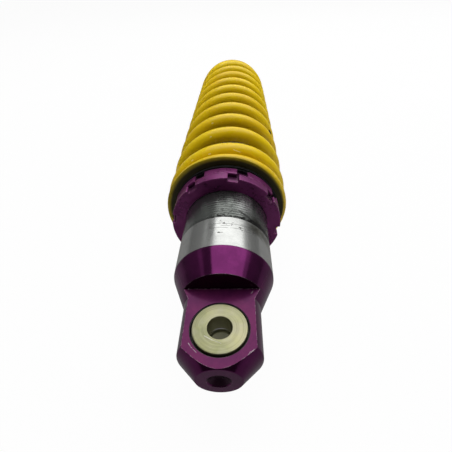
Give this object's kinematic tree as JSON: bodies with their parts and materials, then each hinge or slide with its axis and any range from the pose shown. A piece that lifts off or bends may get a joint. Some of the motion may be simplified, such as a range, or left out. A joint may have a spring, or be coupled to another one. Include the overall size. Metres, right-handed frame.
{
  "type": "coilover",
  "caption": "Coilover strut: threaded monotube damper, helical spring between a preload collar and a seat on the rod eye, and a spherical bearing with stepped bushes in each eye",
  "frame": {"origin": "centre of the body eye's bolt bore, on the strut's axis", "axes": "+Z along the strut from the body eye to the rod eye; +Y along both bolt axes; +X completes the right-handed frame, towards the rebound knob"},
  "size_m": [0.079, 0.079, 0.4336],
  "materials": {
    "purple_anodised": "glossy purple anodised",
    "spring_paint": "glossy yellow powder coat on spring steel",
    "yellow_zinc": "turned steel with pale yellow zinc plating",
    "turned_aluminium": "turned, lightly worn",
    "hard_chrome": "ground and hard chromed",
    "bright_steel": "bright steel",
    "dark_steel": "dark phosphated steel",
    "black_rubber": "matte black rubber",
    "bump_foam": "dense black elastomer foam",
    "black_polymer": "matte black moulded polymer",
    "bronze": "bearing bronze"
  },
  "bodies": {
    "damper_body": {"body_eye": "purple_anodised", "cap_seal_ring": "black_rubber", "gas_fill_screw": "dark_steel", "gas_fill_washer": "bronze", "damper_tube": "turned_aluminium", "rod_guide": "turned_aluminium", "rod_guide_bush": "bronze", "rod_guide_ring": "black_rubber", "rod_seal": "black_rubber", "rod_wiper": "black_rubber", "guide_circlip": "dark_steel", "body_race": "dark_steel", "body_race_circlip": "dark_steel", "body_eye_seals": "black_rubber"},
    "gas_piston": {"gas_piston": "turned_aluminium", "gas_piston_ring": "black_rubber"},
    "spring_seat": {"thrust_washer": "dark_steel", "spring_seat": "black_polymer", "main_spring": "spring_paint"},
    "preload_collar": {"preload_collar": "purple_anodised"},
    "lock_ring": {"lock_ring": "purple_anodised"},
    "upper_seat": {"spring_retainer": "purple_anodised"},
    "rod": {"damper_rod": "hard_chrome", "topout_spacer": "black_rubber", "topout_washer": "dark_steel", "compression_shims": "bright_steel", "main_piston": "turned_aluminium", "piston_band": "bronze", "rebound_shims": "bright_steel", "piston_nut": "dark_steel", "bump_stop": "bump_foam", "bump_washer": "dark_steel", "rod_lock_nut": "dark_steel", "rod_eye": "purple_anodised", "rod_race": "dark_steel", "rod_race_circlip": "dark_steel", "rod_eye_seals": "black_rubber"},
    "rebound_knob": {"rebound_knob": "purple_anodised", "adjuster_spindle": "bright_steel"},
    "needle": {"adjuster_needle": "bright_steel"},
    "body_ball": {"body_ball": "hard_chrome"},
    "body_bushes": {"body_front_bush": "yellow_zinc", "body_back_bush": "yellow_zinc"},
    "rod_ball": {"rod_ball": "hard_chrome"},
    "rod_bushes": {"rod_front_bush": "yellow_zinc", "rod_back_bush": "yellow_zinc"}
  },
  "joints": [
    {"name": "compression", "type": "slide", "parent": "damper_body", "child": "upper_seat", "axis": [0, 0, -1], "range_m": [0, 0.07], "stiffness_N_per_m": 27000, "springref_m": -0.003, "deforming": ["main_spring"]},
    {"name": "rod_turn", "type": "hinge", "parent": "upper_seat", "child": "rod", "pos_m": [0, 0, 0.354], "axis": [0, 0, 1], "continuous": true},
    {"name": "gas_piston_slide", "type": "slide", "parent": "damper_body", "child": "gas_piston", "axis": [0, 0, -1], "range_m": [0, 0.0103]},
    {"name": "preload_lift", "type": "slide", "parent": "damper_body", "child": "spring_seat", "axis": [0, 0, 1], "range_m": [-0.02, 0]},
    {"name": "preload_turn", "type": "hinge", "parent": "spring_seat", "child": "preload_collar", "pos_m": [0, 0, 0.0837], "axis": [0, 0, 1], "range_deg": [-3601, 0]},
    {"name": "lock_ring_turn", "type": "hinge", "parent": "preload_collar", "child": "lock_ring", "pos_m": [0, 0, 0.0779], "axis": [0, 0, 1], "range_deg": [-90, 0]},
    {"name": "rebound_turn", "type": "hinge", "parent": "rod", "child": "rebound_knob", "pos_m": [0.027, 0, 0.379], "axis": [1, 0, 0], "range_deg": [0, 721]},
    {"name": "needle_slide", "type": "slide", "parent": "rod", "child": "needle", "axis": [0, 0, -1], "range_m": [0, 0.001]},
    {"name": "body_ball_tilt", "type": "hinge", "parent": "damper_body", "child": "body_ball", "pos_m": [0, 0, 0], "axis": [1, 0, 0], "range_deg": [-3, 3]},
    {"name": "body_bush_spin", "type": "hinge", "parent": "body_ball", "child": "body_bushes", "pos_m": [0, 0, 0], "axis": [0, 1, 0], "continuous": true},
    {"name": "rod_ball_tilt", "type": "hinge", "parent": "rod", "child": "rod_ball", "pos_m": [0, 0, 0.4], "axis": [1, 0, 0], "range_deg": [-3, 3]},
    {"name": "rod_bush_spin", "type": "hinge", "parent": "rod_ball", "child": "rod_bushes", "pos_m": [0, 0, 0.4], "axis": [0, 1, 0], "continuous": true}
  ],
  "couplings": [
    {"joint": "gas_piston_slide", "follows": "compression", "ratio": 0.14513},
    {"joint": "preload_turn", "follows": "preload_lift", "rad_per_m": 3141.6},
    {"joint": "rebound_turn", "follows": "needle_slide", "rad_per_m": 12566}
  ]
}
